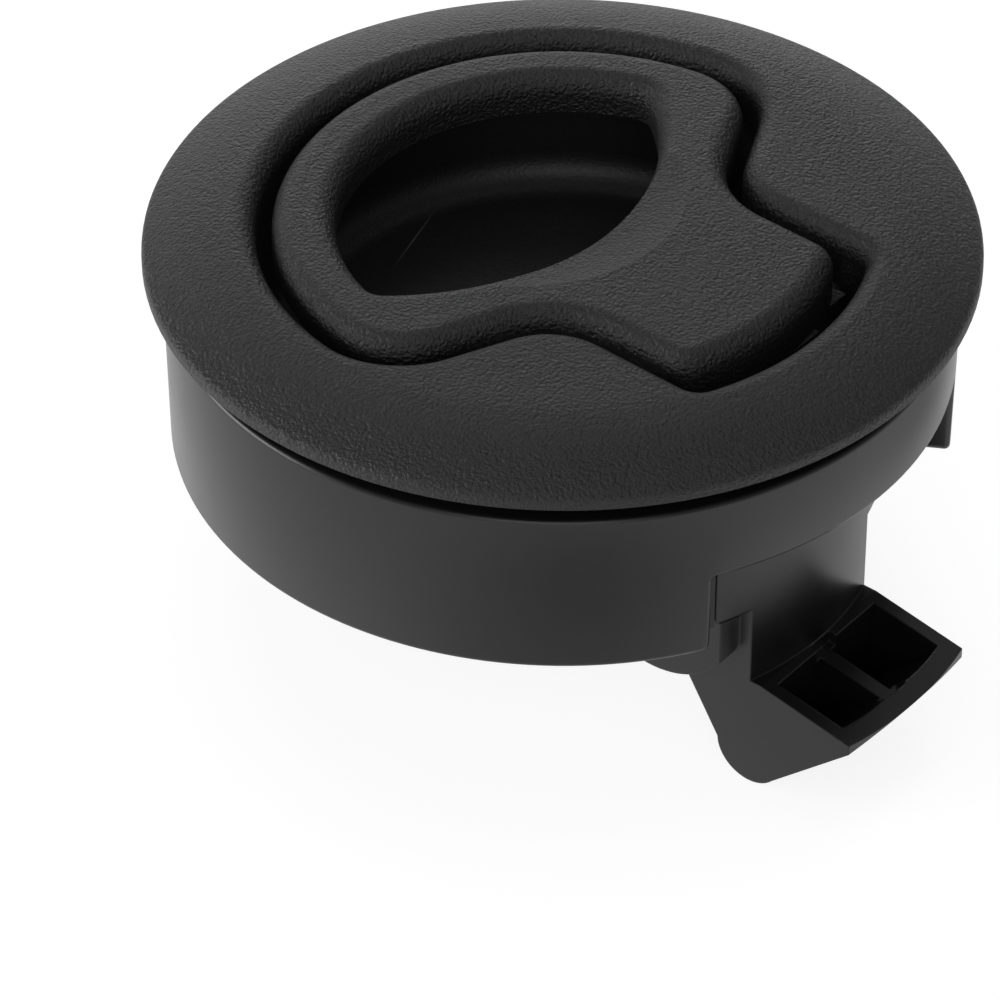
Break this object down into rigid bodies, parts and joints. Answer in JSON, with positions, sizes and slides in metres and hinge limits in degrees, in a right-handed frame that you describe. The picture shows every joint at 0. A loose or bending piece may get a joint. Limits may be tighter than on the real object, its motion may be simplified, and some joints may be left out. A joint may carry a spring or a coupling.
{
  "type": "flush latch",
  "caption": "Round flush pull latch for hatches: crowned bezel, finger-cup handle, sprung slam pawl, clamp collar behind the panel.",
  "frame": {"origin": "on the latch axis, on the plane where the bezel's underside sits on the panel", "axes": "+Z out of the panel towards the person who pulls the handle, +X from the finger cup towards the pawl, +Y along the hinge pin"},
  "size_m": [0.0634, 0.061, 0.0375],
  "materials": {
    "grained_nylon": "fine moulded grain, matt",
    "smooth_nylon": "smooth satin moulding",
    "stainless_steel": "plain turned stainless steel",
    "spring_steel": "drawn stainless wire"
  },
  "bodies": {
    "root": {"housing": "grained_nylon", "hinge_pin": "stainless_steel", "handle_spring": "spring_steel", "pawl_spring": "spring_steel"},
    "handle": {"pull_handle": "grained_nylon"},
    "pawl": {"pawl": "smooth_nylon"},
    "collar": {"clamp_collar": "smooth_nylon", "collar_screw_left": "stainless_steel", "collar_screw_right": "stainless_steel"}
  },
  "joints": [
    {"name": "handle_lift", "type": "hinge", "parent": "root", "child": "handle", "pos_m": [0.016, 0, -0.0036], "axis": [0, 1, 0], "range_deg": [0, 25], "stiffness_Nm_per_rad": 0.05, "springref_deg": -28.65, "deforming": ["handle_spring"]},
    {"name": "pawl_swing", "type": "hinge", "parent": "root", "child": "pawl", "pos_m": [0.016, 0, -0.0036], "axis": [0, 1, 0], "range_deg": [0, 25], "stiffness_Nm_per_rad": 0.05, "springref_deg": -28.65, "deforming": ["pawl_spring"]},
    {"name": "collar_slide", "type": "slide", "parent": "root", "child": "collar", "axis": [0, 0, -1], "range_m": [0, 0.0095]}
  ],
  "couplings": [
    {"joint": "pawl_swing", "follows": "handle_lift", "ratio": 1}
  ]
}
